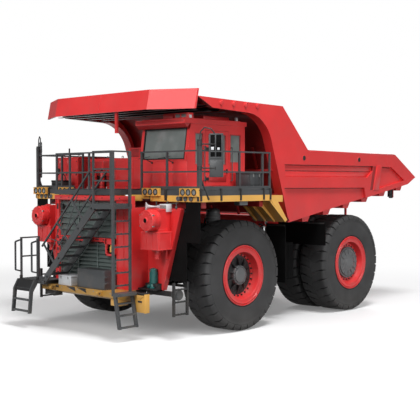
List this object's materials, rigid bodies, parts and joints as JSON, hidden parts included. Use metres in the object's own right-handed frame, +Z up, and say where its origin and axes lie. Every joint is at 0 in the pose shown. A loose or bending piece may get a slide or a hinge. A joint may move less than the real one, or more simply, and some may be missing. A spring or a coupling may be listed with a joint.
{
  "type": "rigid-frame mining dump truck",
  "caption": "Rigid-frame mining dump truck with tipping bed, canopy over an offset cab, dual rear wheels, steered front wheels, front stair and railed decks.",
  "frame": {"origin": "on the ground below the middle of the truck's bounding box", "axes": "+X forward, +Y to the truck's left, +Z up"},
  "size_m": [12.67, 7.7424, 6.46],
  "materials": {
    "tyre": "worn black rubber",
    "body_red": "glossy red paint",
    "rail_grey": "dark grey satin paint",
    "safety_yellow": "yellow satin paint",
    "dark_steel": "black satin paint",
    "engine_iron": "painted cast iron",
    "grille_grey": "grey-green satin paint",
    "flap_rubber": "matt black rubber",
    "cab_glass": "tinted glass",
    "lens_glass": "clear lens",
    "mirror_black": "matt dark plastic",
    "chrome_rod": "hard chrome",
    "seat_fabric": "dark woven fabric",
    "console_plastic": "grained plastic"
  },
  "bodies": {
    "chassis": {"deck_supports": "body_red", "radiator_frame": "body_red", "fender_panels": "body_red", "air_cleaners": "body_red", "cab_roof": "body_red", "cab_front": "body_red", "cab_rear": "body_red", "cab_left": "body_red", "cab_right": "body_red", "control_cabinets": "body_red", "engine_block": "engine_iron", "main_frame": "dark_steel", "side_tanks": "dark_steel", "suspension_struts": "dark_steel", "rear_axle_housing": "dark_steel", "front_bumper": "safety_yellow", "deck_edging": "safety_yellow", "radiator_grille": "grille_grey", "mud_flaps": "flap_rubber", "deck_plates": "rail_grey", "handrails": "rail_grey", "main_stair": "rail_grey", "step_landing": "rail_grey", "access_ladder": "rail_grey", "cab_floor": "rail_grey", "equipment_boxes": "rail_grey", "side_steps": "rail_grey", "mirrors": "mirror_black", "cab_glass": "cab_glass", "lamp_lenses": "lens_glass", "operator_seat": "seat_fabric", "dash_console": "console_plastic"},
    "bed": {"bed_floor": "body_red", "bed_side_left": "body_red", "bed_side_right": "body_red", "bed_front_wall": "body_red", "canopy": "body_red"},
    "left_knuckle": {"knuckle_left": "dark_steel"},
    "right_knuckle": {"knuckle_right": "dark_steel"},
    "tie_rod_body": {"tie_rod": "dark_steel"},
    "front_left_wheel": {"front_tyre_left": "tyre", "front_rim_left": "body_red"},
    "front_right_wheel": {"front_tyre_right": "tyre", "front_rim_right": "body_red"},
    "rear_left_wheels": {"rear_tyres_left": "tyre", "rear_rim_left": "body_red"},
    "rear_right_wheels": {"rear_tyres_right": "tyre", "rear_rim_right": "body_red"},
    "door": {"cab_door": "body_red", "door_glass": "cab_glass"},
    "hoist_left_barrel": {"hoist_barrel_left": "dark_steel"},
    "hoist_left_stage": {"hoist_stage_left": "chrome_rod"},
    "hoist_left_rod": {"hoist_rod_left": "chrome_rod"},
    "hoist_right_barrel": {"hoist_barrel_right": "dark_steel"},
    "hoist_right_stage": {"hoist_stage_right": "chrome_rod"},
    "hoist_right_rod": {"hoist_rod_right": "chrome_rod"}
  },
  "joints": [
    {"name": "bed_tip", "type": "hinge", "parent": "chassis", "child": "bed", "pos_m": [-3.825, 0, 2.4], "axis": [0, -1, 0], "range_deg": [0, 45]},
    {"name": "steer_left", "type": "hinge", "parent": "chassis", "child": "left_knuckle", "pos_m": [2.475, 1.85, 1.515], "axis": [0, 0, 1], "range_deg": [-35, 35]},
    {"name": "steer_right", "type": "hinge", "parent": "chassis", "child": "right_knuckle", "pos_m": [2.475, -1.85, 1.515], "axis": [0, 0, 1], "range_deg": [-35, 35]},
    {"name": "tie_rod_ball", "type": "hinge", "parent": "left_knuckle", "child": "tie_rod_body", "pos_m": [1.975, 1.85, 0.96], "axis": [0, 0, 1], "range_deg": [-35, 35]},
    {"name": "roll_front_left", "type": "hinge", "parent": "left_knuckle", "child": "front_left_wheel", "pos_m": [2.475, 2.555, 1.515], "axis": [0, 1, 0], "continuous": true},
    {"name": "roll_front_right", "type": "hinge", "parent": "right_knuckle", "child": "front_right_wheel", "pos_m": [2.475, -2.555, 1.515], "axis": [0, 1, 0], "continuous": true},
    {"name": "roll_rear_left", "type": "hinge", "parent": "chassis", "child": "rear_left_wheels", "pos_m": [-2.775, 1.9, 1.515], "axis": [0, 1, 0], "continuous": true},
    {"name": "roll_rear_right", "type": "hinge", "parent": "chassis", "child": "rear_right_wheels", "pos_m": [-2.775, -1.9, 1.515], "axis": [0, 1, 0], "continuous": true},
    {"name": "cab_door_swing", "type": "hinge", "parent": "chassis", "child": "door", "pos_m": [3.6, 2.64, 4.7], "axis": [0, 0, -1], "range_deg": [0, 50]},
    {"name": "hoist_left_foot", "type": "hinge", "parent": "chassis", "child": "hoist_left_barrel", "pos_m": [-0.775, 1.11, 1.05], "axis": [0, -1, 0], "range_deg": [0, 21.37]},
    {"name": "hoist_left_stage_slide", "type": "slide", "parent": "hoist_left_barrel", "child": "hoist_left_stage", "axis": [0.1135, 0, 0.9935], "range_m": [0, 1.1527]},
    {"name": "hoist_left_rod_slide", "type": "slide", "parent": "hoist_left_stage", "child": "hoist_left_rod", "axis": [0.1135, 0, 0.9935], "range_m": [0, 1.1527]},
    {"name": "hoist_right_foot", "type": "hinge", "parent": "chassis", "child": "hoist_right_barrel", "pos_m": [-0.775, -1.11, 1.05], "axis": [0, -1, 0], "range_deg": [0, 21.37]},
    {"name": "hoist_right_stage_slide", "type": "slide", "parent": "hoist_right_barrel", "child": "hoist_right_stage", "axis": [0.1135, 0, 0.9935], "range_m": [0, 1.1527]},
    {"name": "hoist_right_rod_slide", "type": "slide", "parent": "hoist_right_stage", "child": "hoist_right_rod", "axis": [0.1135, 0, 0.9935], "range_m": [0, 1.1527]}
  ],
  "couplings": [
    {"joint": "steer_right", "follows": "steer_left", "ratio": 1},
    {"joint": "tie_rod_ball", "follows": "steer_left", "ratio": -1},
    {"joint": "hoist_left_foot", "follows": "bed_tip", "ratio": 0.47261},
    {"joint": "hoist_left_stage_slide", "follows": "bed_tip", "m_per_rad": 1.4664},
    {"joint": "hoist_left_rod_slide", "follows": "bed_tip", "m_per_rad": 1.4664},
    {"joint": "hoist_right_foot", "follows": "bed_tip", "ratio": 0.47261},
    {"joint": "hoist_right_stage_slide", "follows": "bed_tip", "m_per_rad": 1.4664},
    {"joint": "hoist_right_rod_slide", "follows": "bed_tip", "m_per_rad": 1.4664}
  ]
}
